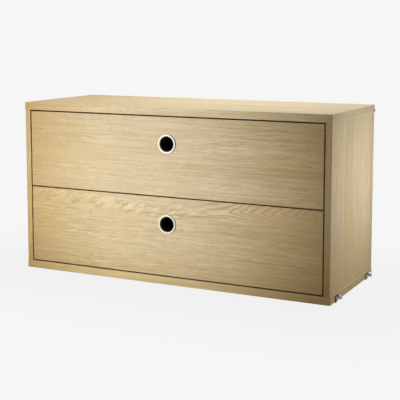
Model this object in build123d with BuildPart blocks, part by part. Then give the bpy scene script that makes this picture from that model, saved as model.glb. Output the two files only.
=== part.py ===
from build123d import *
import os

os.makedirs("parts", exist_ok=True)

# A two-drawer wooden cabinet that hangs by four hooks between the side frames of a wall shelf.
# X is to the right, Y to the back, Z up. The origin is at the middle of the footprint, pulls included,
# on the plane of the hooks' feet.

# Carcass
width = 780
depth = 300
height = 406
slab = 18
cheek = 14
cheek_inset = 1
arris = 0.6

# Back panel, held in grooves
back_board = 6
back_inset = 12
back_groove = 6
groove_play = 0.1
groove_end_play = 0.5

# Tongues of the side panels, in stopped housings of the top and the bottom
tongue = 8
tongue_depth = 6
tongue_stop = 15
glue_play = 0.05
housing_end_play = 0.5

# Drawer fronts and the gap round them
front_thickness = 16
reveal = 3

# Drawer boxes
box_side = 12
box_back = 12
box_height = 140
box_rear_gap = 11
box_lift = 14
back_set_in = 8
back_housing = 4
bottom_board = 5
board_lift = 12
board_groove = 6
side_tongue = 6
side_tongue_depth = 6
side_tongue_stop = 25

# Round finger pulls
pull_drop = 61
pull_diameter = 44
pull_proud = 2.5
ring_wall = 4.3
sleeve_wall = 1.2
sleeve_recess = 0.8
pull_play = 0.1

# Roller runners
runner_gap = 12.5
runner_setback = 2
runner_end_gap = 5
runner_drop = 5
sheet = 1.2
bend = 0.6
under_reach = 11
web_clearance = 1.1
roller_diameter = 16
roller_width = 7
roller_play = 0.3
flange_clearance = 0.6
axle_diameter = 4
axle_play = 0.05
roller_end_play = 0.3
axle_inset = 12
flange_cut = 6
rail_kept = 60
stop_height = 2
stop_width = 6

# Screws: the cone of the head is 90 degrees, as deep as the sheet it holds
screw_shank = 3.5
cheek_screw_length = 12
box_screw_length = 10
runner_screw_inset = 45
screw_play = 0.05

# Screws and their bores are small, and mostly hidden, so they have few sides
screw_sides = 6
screw_land = 0.2
bore_end_play = 0.5

# Hooks
strap = 2
strap_width = 13
rung_diameter = 6
hook_inset = 35
hook_rise = 10
hook_wrap = 150
lip_length = 6
foot_length = 30
foot_screw_first = 9
foot_screw_pitch = 14
hook_corner = 2
hook_screw_shank = 4
hook_screw_length = 12

# Locating pegs in the ends of the top panel
peg_diameter = 4
peg_body_diameter = 5
peg_proud = 3
peg_bore = 12
peg_from_back = 5
peg_from_underside = 5

# Planes and heights that the pieces share
front = -(depth - pull_proud) / 2
back = front + depth
middle = (front + back) / 2
floor = strap
floor_top = floor + slab
ceiling = floor + height - slab
opening_height = ceiling - floor_top
cheek_inner = width / 2 - cheek_inset - cheek
cheek_middle = cheek_inner + cheek / 2
board_back = back - back_inset
board_front = board_back - back_board
tongue_length = board_front - front - 2 * tongue_stop
tongue_middle = (board_front + front) / 2

front_width = 2 * (cheek_inner - reveal)
front_height = (opening_height - 3 * reveal) / 2
front_back = front + front_thickness
box_outer = cheek_inner - runner_gap
box_inner = box_outer - box_side
side_middle = box_inner + box_side / 2
side_tongue_height = box_height - 2 * side_tongue_stop
pull_bore = pull_diameter + 2 * pull_play
box_end = board_front - box_rear_gap
box_length = box_end - front_back
box_back_rear = box_end - back_set_in
box_back_front = box_back_rear - box_back
drawer_bases = {"lower": floor_top + reveal, "upper": floor_top + 2 * reveal + front_height}
runner_bases = {name: base + box_lift - runner_drop for name, base in drawer_bases.items()}

# The runners are as long as the box allows, and rail_kept of them stays in the cabinet at full travel.
runner_length = box_length - runner_end_gap
runner_front = front_back + runner_setback
runner_back = runner_front + runner_length
travel = runner_length - rail_kept
roller_radius = roller_diameter / 2
channel_height = 2 * sheet + roller_diameter + 2 * roller_play
rail_height = channel_height + flange_clearance
channel_reach = runner_gap - sheet - web_clearance
rear_roller_height = sheet + roller_play + roller_radius
front_roller_height = rail_height - roller_play - roller_radius
screw_height = channel_height / 2
screw_rows = [runner_front + runner_screw_inset, runner_back - runner_screw_inset]

hook_rows = [front + hook_inset + strap_width / 2, back - hook_inset - strap_width / 2]
foot_screws = [width / 2 - foot_screw_first - n * foot_screw_pitch for n in range(2)]


# Labels a finished piece and writes its file.
def save(piece, label):
    piece.part.label = label
    export_step(piece.part, f"parts/{label}.step")


# Writes a right-hand piece and its mirror image for the left.
def save_pair(right, right_label, left_label):
    save(right, right_label)
    with BuildPart() as left:
        mirror(right.part, about=Plane.YZ)
    save(left, left_label)


# A level plane at height z that faces up or down, with local x to the right. Local y is Y times up.
def level(z, up):
    return Plane(origin=(0, 0, z), x_dir=(1, 0, 0), z_dir=(0, 0, up))


# An upright plane at x that faces left, with local x to the back and local y down.
def left_facing(x):
    return Plane(origin=(x, 0, 0), x_dir=(0, 1, 0), z_dir=(-1, 0, 0))


# An upright plane at x that faces right, with local x to the back and local y up.
def right_facing(x):
    return Plane(origin=(x, 0, 0), x_dir=(0, 1, 0), z_dir=(1, 0, 0))


# An upright plane at y that faces the front, with local x to the right and local y up.
def front_facing(y):
    return Plane(origin=(0, y, 0), x_dir=(1, 0, 0), z_dir=(0, -1, 0))


# An upright plane at y that faces the back, with local x to the left and local y up.
def back_facing(y):
    return Plane(origin=(0, y, 0), x_dir=(-1, 0, 0), z_dir=(0, 1, 0))


# The form of a countersunk screw: its head's flat is on the XY plane and its point below. Grown by
# the play and longer by the end play, it is the form of the screw's hole.
def screw_form(shank, length, head_depth, play=0, end_play=0):
    radius = shank / 2 + play
    with BuildPart() as form:
        with BuildSketch():
            RegularPolygon(radius + head_depth - screw_land, screw_sides, major_radius=False)
        extrude(amount=-head_depth)
        chamfer(form.faces().sort_by(Axis.Z)[0].edges(), head_depth - screw_land)
        with BuildSketch():
            RegularPolygon(radius, screw_sides, major_radius=False)
        extrude(amount=-length - end_play)
    return form.part


hook_screw = screw_form(hook_screw_shank, hook_screw_length, strap)
hook_screw_hole = screw_form(hook_screw_shank, hook_screw_length, strap, screw_play, bore_end_play)
cheek_screw = screw_form(screw_shank, cheek_screw_length, sheet)
cheek_screw_hole = screw_form(screw_shank, cheek_screw_length, sheet, screw_play, bore_end_play)
box_screw = screw_form(screw_shank, box_screw_length, sheet)
box_screw_hole = screw_form(screw_shank, box_screw_length, sheet, screw_play, bore_end_play)


# Puts a form at each of the points of a plane.
def place(form, plane, points, mode=Mode.ADD):
    with Locations(plane):
        with Locations(points):
            add(form, mode=mode)


# Top and bottom panels. under is the height of the panel's underside, inside the height of the
# face that the side panels meet, and up is 1 if that is the panel's upper face.
def slab_panel(under, inside, up):
    with BuildPart() as panel:
        with BuildSketch(Plane.XY.offset(under)):
            with Locations((0, middle)):
                Rectangle(width, depth)
        extrude(amount=slab)
        chamfer(panel.edges(), arris)
        with BuildSketch(level(inside, up)):
            with Locations((0, up * (board_front + board_back) / 2)):
                Rectangle(2 * (cheek_inner + back_groove), back_board + 2 * groove_play)
        extrude(amount=-back_groove, mode=Mode.SUBTRACT)
        with BuildSketch(level(inside, up)):
            with Locations([(x, up * tongue_middle) for x in (-cheek_middle, cheek_middle)]):
                Rectangle(tongue + 2 * glue_play, tongue_length + 2 * glue_play)
        extrude(amount=-tongue_depth - housing_end_play, mode=Mode.SUBTRACT)
    return panel


hook_screw_points = [(s * x, -y) for s in (-1, 1) for x in foot_screws for y in hook_rows]
bottom_panel = slab_panel(floor, floor_top, 1)
with bottom_panel:
    place(hook_screw_hole, level(0, -1), hook_screw_points, Mode.SUBTRACT)
save(bottom_panel, "bottom_panel")

top_panel = slab_panel(ceiling, ceiling, -1)
peg_y = back - peg_from_back
peg_z = ceiling + peg_from_underside
with top_panel:
    for side in (-1, 1):
        end = Plane(origin=(side * width / 2, peg_y, peg_z), x_dir=(0, side, 0), z_dir=(side, 0, 0))
        with Locations(end):
            Hole(peg_body_diameter / 2 + glue_play, depth=peg_bore + bore_end_play)
save(top_panel, "top_panel")

# Side panels, between the top and the bottom
with BuildPart() as right_side_panel:
    with BuildSketch(Plane.XY.offset(floor_top)):
        with Locations((cheek_middle, middle)):
            Rectangle(cheek, depth)
    extrude(amount=opening_height)
    chamfer(right_side_panel.edges().filter_by(Axis.Z), arris)
    with BuildSketch(Plane.XY.offset(floor_top)):
        with Locations((cheek_inner + back_groove / 2, (board_front + board_back) / 2)):
            Rectangle(back_groove, back_board + 2 * groove_play)
    extrude(amount=opening_height, mode=Mode.SUBTRACT)
    with BuildSketch(Plane.XY.offset(floor_top - tongue_depth)):
        with Locations((cheek_middle, tongue_middle)):
            Rectangle(tongue, tongue_length)
    extrude(amount=opening_height + 2 * tongue_depth)
    for base in runner_bases.values():
        points = [(y, -(base + screw_height)) for y in screw_rows]
        place(cheek_screw_hole, left_facing(cheek_inner - sheet), points, Mode.SUBTRACT)
save_pair(right_side_panel, "right_side_panel", "left_side_panel")

with BuildPart() as back_panel:
    reach = back_groove - groove_end_play
    with BuildSketch(Plane.XY.offset(floor_top - reach)):
        with Locations((0, (board_front + board_back) / 2)):
            Rectangle(2 * (cheek_inner + reach), back_board)
    extrude(amount=opening_height + 2 * reach)
save(back_panel, "back_panel")

with BuildPart() as right_peg:
    with BuildSketch(Plane.YZ.offset(width / 2 - peg_bore)):
        with Locations((peg_y, peg_z)):
            Circle(peg_body_diameter / 2)
    extrude(amount=peg_bore)
    with BuildSketch(Plane.YZ.offset(width / 2)):
        with Locations((peg_y, peg_z)):
            Circle(peg_diameter / 2)
    extrude(amount=peg_proud)
save_pair(right_peg, "right_locating_peg", "left_locating_peg")


# A hook bent from flat strap: a foot screwed under the bottom panel, a leg up the panel's end,
# an arch over the frame's rung, and a lip that flares outwards. The line drawn is the strap's
# face that lies on the wood.
def hook(y_centre):
    end = width / 2
    arch_centre = (end + strap + rung_diameter / 2, floor + hook_rise)
    with BuildPart() as bent:
        with BuildSketch(front_facing(y_centre + strap_width / 2)):
            with BuildLine():
                foot = (end - foot_length, floor)
                FilletPolyline(foot, (end, floor), (end, arch_centre[1]), radius=arris)
                arch = CenterArc(arch_centre, rung_diameter / 2 + strap, 180, -hook_wrap)
                Line(arch @ 1, arch @ 1 + (arch % 1) * lip_length)
                offset(amount=strap, side=Side.RIGHT)
            make_face()
        extrude(amount=strap_width)
        foot_end = bent.faces().sort_by(Axis.X)[0]
        chamfer(foot_end.edges().filter_by(Axis.Z), hook_corner)
        place(hook_screw_hole, level(0, -1), [(x, -y_centre) for x in foot_screws], Mode.SUBTRACT)
    return bent


for end, y_centre in zip(("front", "rear"), hook_rows):
    save_pair(hook(y_centre), f"{end}_right_hook", f"{end}_left_hook")

with BuildPart() as hook_screws:
    place(hook_screw, level(0, -1), hook_screw_points)
save(hook_screws, "hook_screws")


# A bent sheet profile, drawn as one of its faces in X and Z and run along the runner. The sheet
# lies on the side given. Each bend is drawn as one flat.
def sheet_profile(points, side):
    with BuildSketch(front_facing(runner_back)) as section:
        with BuildLine():
            Polyline(points)
            offset(amount=sheet, side=side, kind=Kind.INTERSECTION)
        make_face()
    extrude(section.sketch, amount=runner_length)


# An axle pin riveted to a web at x_web, which points along way, -1 to the left or 1 to the right. The
# roller snaps on.
def add_axle(x_web, way, y, z):
    on_web = Plane(origin=(x_web, y, z), x_dir=(0, way, 0), z_dir=(way, 0, 0))
    with BuildSketch(on_web) as pin:
        Circle(axle_diameter / 2)
    extrude(pin.sketch, amount=roller_width + 2 * roller_end_play)


# The cabinet's half of a runner: a channel that the drawer's rear roller runs in.
def cabinet_runner(base):
    tip = cheek_inner - channel_reach
    high = base + channel_height
    front_axle = runner_front + axle_inset
    with BuildPart() as runner:
        corner = bend + sheet
        outline = [
            (tip, base),
            (cheek_inner - corner, base),
            (cheek_inner, base + corner),
            (cheek_inner, high - corner),
            (cheek_inner - corner, high),
            (tip, high),
        ]
        sheet_profile(outline, Side.LEFT)
        # The upper flange stops short of the front roller.
        cut_end = front_axle + roller_radius + flange_cut
        with BuildSketch(Plane.XY.offset(high - corner - sheet)):
            with Locations((cheek_inner - sheet, runner_front)):
                Rectangle(runner_gap, cut_end - runner_front, align=(Align.MAX, Align.MIN))
        extrude(amount=corner + sheet, mode=Mode.SUBTRACT)
        # A tab bent up from the lower flange stops the rear roller at the end of the travel.
        roller_at_stop = runner_back - axle_inset - travel
        rise = roller_radius + roller_play - stop_height
        stop_y = roller_at_stop - (roller_radius**2 - rise**2) ** 0.5 - roller_play
        with BuildSketch(Plane.XY.offset(base + sheet)):
            with Locations((cheek_inner - runner_gap / 2, stop_y)):
                Rectangle(stop_width, sheet, align=(Align.CENTER, Align.MAX))
        extrude(amount=stop_height)
        add_axle(cheek_inner - sheet, -1, front_axle, base + front_roller_height)
        points = [(y, -(base + screw_height)) for y in screw_rows]
        place(cheek_screw_hole, left_facing(cheek_inner - sheet), points, Mode.SUBTRACT)
    return runner


# The drawer's half: a flange under the box side, a web, and a rail that rolls on the front roller.
def drawer_runner(base):
    under = base + runner_drop
    rail = base + rail_height + sheet
    tip = cheek_inner - sheet - web_clearance
    with BuildPart() as runner:
        corner = bend + sheet
        outline = [
            (box_outer - under_reach, under),
            (box_outer - bend, under),
            (box_outer, under + bend),
            (box_outer, rail - corner),
            (box_outer + corner, rail),
            (tip, rail),
        ]
        sheet_profile(outline, Side.RIGHT)
        add_axle(box_outer + sheet, 1, runner_back - axle_inset, base + rear_roller_height)
        points = [(y, base + screw_height) for y in screw_rows]
        place(box_screw_hole, right_facing(box_outer + sheet), points, Mode.SUBTRACT)
    return runner


# A nylon roller whose left face is at x.
def roller(x, y, z):
    with BuildPart() as wheel:
        with BuildSketch(Plane.YZ.offset(x)):
            with Locations((y, z)):
                Circle(roller_radius)
                Circle(axle_diameter / 2 + axle_play, mode=Mode.SUBTRACT)
        extrude(amount=roller_width)
    return wheel


with BuildPart() as cabinet_runner_screws:
    for base in runner_bases.values():
        points = [(y, -(base + screw_height)) for y in screw_rows]
        place(cheek_screw, left_facing(cheek_inner - sheet), points)
    mirror(about=Plane.YZ)
save(cabinet_runner_screws, "cabinet_runner_screws")


# Height of the middle of the tongues that join the sides to the front.
def side_tongue_z(base):
    return base + box_lift + box_height / 2


# The front board of a drawer, with the bore for the pull, the groove for the bottom board
# and the housings for the tongues of the sides.
def drawer_front(base):
    with BuildPart() as board:
        with BuildSketch(Plane.XY.offset(base)):
            with Locations((0, (front + front_back) / 2)):
                Rectangle(front_width, front_thickness)
        extrude(amount=front_height)
        chamfer(board.faces().sort_by(Axis.Y)[0].edges(), arris)
        with Locations(back_facing(front_back)):
            with Locations((0, base + front_height - pull_drop)):
                Hole(pull_bore / 2)
        with BuildSketch(back_facing(front_back)):
            with Locations([(x, side_tongue_z(base)) for x in (-side_middle, side_middle)]):
                Rectangle(side_tongue + 2 * glue_play, side_tongue_height + 2 * glue_play)
        extrude(amount=-side_tongue_depth - housing_end_play, mode=Mode.SUBTRACT)
        with BuildSketch(Plane.XY.offset(base + box_lift + board_lift - groove_play)):
            with Locations((0, front_back - board_groove / 2)):
                Rectangle(2 * (box_inner + board_groove), board_groove)
        extrude(amount=bottom_board + 2 * groove_play, mode=Mode.SUBTRACT)
    return board


# The right side of a drawer box, grooved for the bottom board and the back.
def drawer_side(base):
    side_bottom = base + box_lift
    with BuildPart() as board:
        with BuildSketch(Plane.XY.offset(side_bottom)):
            with Locations((side_middle, (front_back + box_end) / 2)):
                Rectangle(box_side, box_length)
        extrude(amount=box_height)
        chamfer(board.faces().sort_by(Axis.Z)[-1].edges().filter_by(Axis.Y), arris)
        # The lower outer edge clears the bend of the runner.
        chamfer(board.faces().sort_by(Axis.Z)[0].edges().filter_by(Axis.Y).sort_by(Axis.X)[-1], bend)
        with BuildSketch(Plane.XY.offset(side_bottom + board_lift - groove_play)):
            with Locations((box_inner + board_groove / 2, (front_back + box_end) / 2)):
                Rectangle(board_groove, box_length)
        extrude(amount=bottom_board + 2 * groove_play, mode=Mode.SUBTRACT)
        with BuildSketch(Plane.XY.offset(side_bottom)):
            with Locations((box_inner + back_housing / 2, (box_back_front + box_back_rear) / 2)):
                Rectangle(back_housing, box_back + 2 * groove_play)
        extrude(amount=box_height, mode=Mode.SUBTRACT)
        with BuildSketch(front_facing(front_back)):
            with Locations((side_middle, side_tongue_z(base))):
                Rectangle(side_tongue, side_tongue_height)
        extrude(amount=side_tongue_depth)
        points = [(y, side_bottom - runner_drop + screw_height) for y in screw_rows]
        place(box_screw_hole, right_facing(box_outer + sheet), points, Mode.SUBTRACT)
    return board


# The back of a drawer box, housed in the sides and grooved for the bottom board.
def drawer_back(base):
    side_bottom = base + box_lift
    with BuildPart() as board:
        with BuildSketch(Plane.XY.offset(side_bottom)):
            with Locations((0, (box_back_front + box_back_rear) / 2)):
                Rectangle(2 * (box_inner + back_housing - groove_end_play), box_back)
        extrude(amount=box_height)
        with BuildSketch(Plane.XY.offset(side_bottom + board_lift - groove_play)):
            with Locations((0, box_back_front + board_groove / 2)):
                Rectangle(2 * (box_inner + back_housing), board_groove)
        extrude(amount=bottom_board + 2 * groove_play, mode=Mode.SUBTRACT)
    return board


# The bottom board. Its edges lie in the grooves of the front, the sides and the back.
def drawer_bottom(base):
    reach = board_groove - groove_end_play
    with BuildPart() as board:
        with BuildSketch(Plane.XY.offset(base + box_lift + board_lift)):
            with Locations((0, front_back - reach)):
                Rectangle(
                    2 * (box_inner + reach),
                    box_back_front - front_back + 2 * reach,
                    align=(Align.CENTER, Align.MIN),
                )
        extrude(amount=bottom_board)
    return board


# A tube round the pull's axis at height z, from y_face to the back of the drawer front.
def add_tube(y_face, outside, inside, z):
    with BuildSketch(Plane(origin=(0, y_face, z), x_dir=(-1, 0, 0), z_dir=(0, 1, 0))) as section:
        Circle(outside)
        Circle(inside, mode=Mode.SUBTRACT)
    extrude(section.sketch, amount=front_back - y_face)


# The white ring that lines the finger hole and stands proud of the front.
def pull_ring(z):
    outside = pull_diameter / 2
    with BuildPart() as ring:
        add_tube(front - pull_proud, outside, outside - ring_wall, z)
    return ring


# The black sleeve in the ring, a little behind the ring's face.
def pull_sleeve(z):
    outside = pull_diameter / 2 - ring_wall - pull_play
    with BuildPart() as sleeve:
        add_tube(front - pull_proud + sleeve_recess, outside, outside - sleeve_wall, z)
    return sleeve


# Screws that hold a drawer's two runners to its sides.
def drawer_runner_screws(base):
    points = [(y, base + screw_height) for y in screw_rows]
    with BuildPart() as screws:
        place(box_screw, right_facing(box_outer + sheet), points)
        mirror(about=Plane.YZ)
    return screws


for name, base in drawer_bases.items():
    pull_z = base + front_height - pull_drop
    save(drawer_front(base), f"{name}_drawer_front")
    save_pair(drawer_side(base), f"{name}_drawer_right_side", f"{name}_drawer_left_side")
    save(drawer_back(base), f"{name}_drawer_back")
    save(drawer_bottom(base), f"{name}_drawer_bottom")
    save(pull_ring(pull_z), f"{name}_pull_ring")
    save(pull_sleeve(pull_z), f"{name}_pull_sleeve")

for name, base in runner_bases.items():
    save_pair(drawer_runner(base), f"{name}_right_drawer_runner", f"{name}_left_drawer_runner")
    save(drawer_runner_screws(base), f"{name}_drawer_runner_screws")
    rear_face = box_outer + sheet + roller_end_play
    rear_roller = roller(rear_face, runner_back - axle_inset, base + rear_roller_height)
    save_pair(rear_roller, f"{name}_right_rear_roller", f"{name}_left_rear_roller")
    save_pair(cabinet_runner(base), f"{name}_right_cabinet_runner", f"{name}_left_cabinet_runner")
    front_face = cheek_inner - sheet - roller_end_play - roller_width
    front_roller = roller(front_face, runner_front + axle_inset, base + front_roller_height)
    save_pair(front_roller, f"{name}_right_front_roller", f"{name}_left_front_roller")
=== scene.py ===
import bpy
import bmesh
import math
from mathutils import Matrix, Vector


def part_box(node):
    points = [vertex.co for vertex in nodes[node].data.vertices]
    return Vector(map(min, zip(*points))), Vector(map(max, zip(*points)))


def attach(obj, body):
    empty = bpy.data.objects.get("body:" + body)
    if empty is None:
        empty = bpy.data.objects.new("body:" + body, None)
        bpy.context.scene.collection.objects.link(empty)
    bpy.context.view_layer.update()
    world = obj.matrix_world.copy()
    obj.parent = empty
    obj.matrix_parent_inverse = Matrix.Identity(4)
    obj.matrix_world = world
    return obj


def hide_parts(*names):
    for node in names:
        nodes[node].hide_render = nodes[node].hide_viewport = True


# Two-drawer oak cabinet that hangs between the side frames of a wall shelf. Metres throughout.

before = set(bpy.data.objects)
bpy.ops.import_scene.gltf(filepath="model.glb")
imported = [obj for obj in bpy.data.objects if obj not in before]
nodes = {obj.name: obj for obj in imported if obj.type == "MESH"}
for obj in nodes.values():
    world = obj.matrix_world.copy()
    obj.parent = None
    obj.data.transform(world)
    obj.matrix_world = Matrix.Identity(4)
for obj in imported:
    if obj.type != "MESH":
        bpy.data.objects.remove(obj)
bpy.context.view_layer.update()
print("frame loaded:", len(nodes), "nodes")


# Camera, at the photograph's viewing angle

cameraSetup = {
    "place": (1.044, -2.0708, 0.582),
    "yaw": 26.56,      # degrees to the right of the front
    "pitch": 6.44,     # degrees down
    "lens": 88.02,
    "sensor": 36.0,
    "shift": -0.15,    # keeps the uprights nearly upright
    "farthest": 60,
}


def addCamera(setup):
    data = bpy.data.cameras.new("camera")
    data.lens = setup["lens"]
    data.sensor_width = setup["sensor"]
    data.shift_y = setup["shift"]
    data.clip_end = setup["farthest"]
    camera = bpy.data.objects.new("camera", data)
    camera.location = setup["place"]
    camera.rotation_euler = (math.radians(90 - setup["pitch"]), 0, math.radians(setup["yaw"]))
    bpy.context.scene.collection.objects.link(camera)
    bpy.context.scene.camera = camera


addCamera(cameraSetup)
bpy.context.scene.view_settings.view_transform = "Standard"
print("camera placed")


# Small tools for node trees

nodeGrid = {"across": 180, "down": 260, "columns": 12}   # so that a tree's nodes lie in rows


def put(tree, kind, inputs=None, **settings):   # a socket among the inputs is linked, a value is set
    node = tree.nodes.new("ShaderNode" + kind)
    row, column = divmod(len(tree.nodes), nodeGrid["columns"])
    node.location = (nodeGrid["across"] * column, -nodeGrid["down"] * row)
    for name, value in settings.items():
        setattr(node, name, value)
    for name, value in (inputs or {}).items():
        if isinstance(value, bpy.types.NodeSocket):
            tree.links.new(value, node.inputs[name])
        else:
            node.inputs[name].default_value = value
    return node


def maths(tree, operation, *values):
    return put(tree, "Math", dict(enumerate(values)), operation=operation).outputs[0]


def times(tree, a, b):
    return maths(tree, "MULTIPLY", a, b)


def timesPlus(tree, a, b, c):   # a times b, plus c
    return maths(tree, "MULTIPLY_ADD", a, b, c)


def minus(tree, a, b):
    return maths(tree, "SUBTRACT", a, b)


def aroundZero(tree, value):   # for noise and tone, which are 0.5 on average
    return minus(tree, value, 0.5)


def ease(tree, value, low, high, toLow=0.0, toHigh=1.0, kind="SMOOTHSTEP"):   # a smooth step
    settings = {"Value": value, "From Min": low, "From Max": high, "To Min": toLow, "To Max": toHigh}
    return put(tree, "MapRange", settings, interpolation_type=kind).outputs[0]


def span(tree, *values):   # as ease, but straight
    return ease(tree, *values, kind="LINEAR")


def near(tree, value, middle, inner, outer, most=1.0):   # most within inner of middle, 0 past outer
    away = maths(tree, "ABSOLUTE", minus(tree, value, middle))
    return ease(tree, away, inner, outer, most, 0.0)


def swung(tree, clouds, middle, swing):   # clouds move the value by half the swing either way
    return timesPlus(tree, clouds, swing, middle - swing / 2)


def mixColours(tree, factor, a, b, blend="MIX"):
    return put(tree, "Mix", {0: factor, 6: a, 7: b}, data_type="RGBA", blend_type=blend).outputs[2]


def tinted(tree, factor, colour, tint):
    return mixColours(tree, factor, colour, tint, blend="MULTIPLY")


def mixVectors(tree, factor, a, b):
    return put(tree, "Mix", {0: factor, 4: a, 5: b}, data_type="VECTOR").outputs[1]


def axes(tree, vector):   # x, y and z
    return put(tree, "SeparateXYZ", {0: vector}).outputs


def faceAxes(tree):   # x, y and z of the direction that the face looks in
    return axes(tree, put(tree, "NewGeometry").outputs["True Normal"])


def vectorMaths(tree, operation, a, b):
    return put(tree, "VectorMath", {0: a, 1: b}, operation=operation).outputs[0]


def turned(tree, vector, angle):   # about z
    settings = {"Vector": vector, "Axis": (0, 0, 1), "Angle": angle}
    return put(tree, "VectorRotate", settings, rotation_type="AXIS_ANGLE").outputs[0]


def noise(tree, vector, scale=1.0, detail=2.0, roughness=0.5, distortion=0.0):
    settings = {"Vector": vector, "Scale": scale, "Detail": detail, "Roughness": roughness,
                "Distortion": distortion}
    return put(tree, "TexNoise", settings).outputs["Fac"]


def grainNoise(tree, vector, fineness, **settings):   # fineness along the grain and across it
    along, across = fineness
    return noise(tree, vectorMaths(tree, "MULTIPLY", vector, (along, across, across)), **settings)


def newGroup(name, inputs, outputs):   # inputs have their first value, a float or three numbers
    tree = bpy.data.node_groups.new(name, "ShaderNodeTree")
    for label, value in {"Vector": (0, 0, 0), **inputs}.items():
        kind = "NodeSocketFloat" if isinstance(value, float) else "NodeSocketVector"
        tree.interface.new_socket(name=label, in_out="INPUT", socket_type=kind).default_value = value
    for label in outputs:
        tree.interface.new_socket(name=label, in_out="OUTPUT", socket_type="NodeSocketFloat")
    given = tree.nodes.new("NodeGroupInput").outputs
    result = tree.nodes.new("NodeGroupOutput").inputs
    return tree, given, result


def useGroup(tree, group, inputs):
    return put(tree, "Group", inputs, node_tree=group).outputs


def newMaterial(name, surface):
    material = bpy.data.materials.new(name)
    material.use_nodes = True
    tree = material.node_tree
    shader = tree.nodes["Principled BSDF"]
    for label, value in surface.items():
        shader.inputs[label].default_value = value
    return material, tree, shader


def addBump(tree, shader, height, strength, depth):
    bump = put(tree, "Bump", {"Strength": strength, "Distance": depth, "Height": height})
    tree.links.new(bump.outputs[0], shader.inputs["Normal"])


# Shader groups that several materials share. In their looks the name of a noise gives how fine it is
# along the grain and across it, and a name with Range gives what ease or span takes after its value.

grainLook = {
    "sway": (3.2, 16), "swayReach": 0.012, "bands": (1.1, 22), "streaks": (7, 210), "fibres": (30, 760),
    "glints": (24, 310), "glintRange": (0.46, 0.66), "glintMiddle": 0.3,
    "patches": (5, 24), "patchRange": (0.36, 0.62, 0.25, 1.0), "hue": (3, 11), "hueRange": (0.42, 0.66),
    "dashes": (75, 1150), "limitRange": (0.35, 0.65, 0.66, 0.56), "poreRange": (0.0, 0.07),
    "slant": 0.22, "dabs": (60, 260), "dabRange": (0.58, 0.7), "area": (6, 14), "areaRange": (0.45, 0.65),
    "streakHeight": 0.35, "poreHeight": -0.8,
}


def makeGrainGroup(look):
    # Vector runs along the grain in x and across it in y and z. Tone is 0.5 on average.
    tree, given, result = newGroup(
        "veneer grain",
        {"Seed": (0, 0, 0), "Bands": 0.3, "Streaks": 0.5, "Glints": 0.3, "Fibres": 0.3,
         "Leaf Width": 0.1, "Leaves": 0.0},
        ["Tone", "Hue", "Pores", "Flecks", "Height"])
    place = vectorMaths(tree, "ADD", given["Vector"], given["Seed"])
    sway = times(tree, aroundZero(tree, grainNoise(tree, place, look["sway"])), look["swayReach"])
    place = vectorMaths(tree, "ADD", place, put(tree, "CombineXYZ", {1: sway, 2: sway}).outputs[0])
    bands = grainNoise(tree, place, look["bands"], detail=3.0, roughness=0.55)
    streaks = grainNoise(tree, place, look["streaks"], detail=3.0, roughness=0.6)
    fibres = grainNoise(tree, place, look["fibres"], roughness=0.6)
    tone = 0.5
    for part, share in ((bands, "Bands"), (streaks, "Streaks"), (fibres, "Fibres")):
        tone = timesPlus(tree, aroundZero(tree, part), given[share], tone)
    # Short pale fibres that catch the light
    glints = ease(tree, grainNoise(tree, place, look["glints"], roughness=0.55), *look["glintRange"])
    patches = ease(tree, grainNoise(tree, place, look["patches"]), *look["patchRange"])
    glints = times(tree, minus(tree, glints, look["glintMiddle"]), patches)
    tone = timesPlus(tree, glints, given["Glints"], tone)
    hue = ease(tree, grainNoise(tree, place, look["hue"]), *look["hueRange"])
    # Veneer leaves, each with a tone of its own
    number = maths(tree, "FLOOR", maths(tree, "DIVIDE", axes(tree, given["Vector"])[1], given["Leaf Width"]))
    number = maths(tree, "ADD", number, axes(tree, given["Seed"])[0])
    leaf = put(tree, "TexWhiteNoise", {"W": number}, noise_dimensions="1D").outputs["Value"]
    tone = timesPlus(tree, aroundZero(tree, leaf), given["Leaves"], tone)
    # Open pores: short dark dashes, thicker in some bands than in others
    dashes = grainNoise(tree, place, look["dashes"], detail=1.0, roughness=0.4)
    limit = span(tree, bands, *look["limitRange"])
    pores = ease(tree, minus(tree, dashes, limit), *look["poreRange"])
    # Ray flecks: small pale dabs that lie at a slant to the grain
    dabs = grainNoise(tree, turned(tree, place, look["slant"]), look["dabs"], detail=1.5)
    area = grainNoise(tree, place, look["area"], detail=1.0)
    flecks = times(tree, ease(tree, dabs, *look["dabRange"]), ease(tree, area, *look["areaRange"]))
    height = timesPlus(tree, streaks, look["streakHeight"], times(tree, pores, look["poreHeight"]))
    values = {"Tone": tone, "Hue": hue, "Pores": pores, "Flecks": flecks, "Height": height}
    for label, value in values.items():
        tree.links.new(value, result[label])
    return tree


maskFade = 0.08   # metres


def stretchMask(tree, along, start, end):   # fades in after start and out before end
    return times(tree, ease(tree, minus(tree, along, start), 0.0, maskFade),
                 ease(tree, minus(tree, end, along), 0.0, maskFade))


flameLook = {   # dark, pale, tongue and under are what near takes after its value
    "drift": (9, 30), "driftShare": 0.4, "kneeBlend": 0.06, "shake": (26, 95), "shakeShare": 2.0,
    "crowd": (12, 9), "crowdShare": 2.0, "dark": (0.28, 0.0, 0.21), "pale": (0.68, 0.0, 0.28),
    "paleShare": -0.8, "sideRange": (0.55, 1.1, 1.0, 0.0),
    "tongue": (0.001, 0.0025, 0.0065), "under": (-0.0075, 0.0, 0.0030, 0.8), "tongueReach": 0.32,
}


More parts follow.
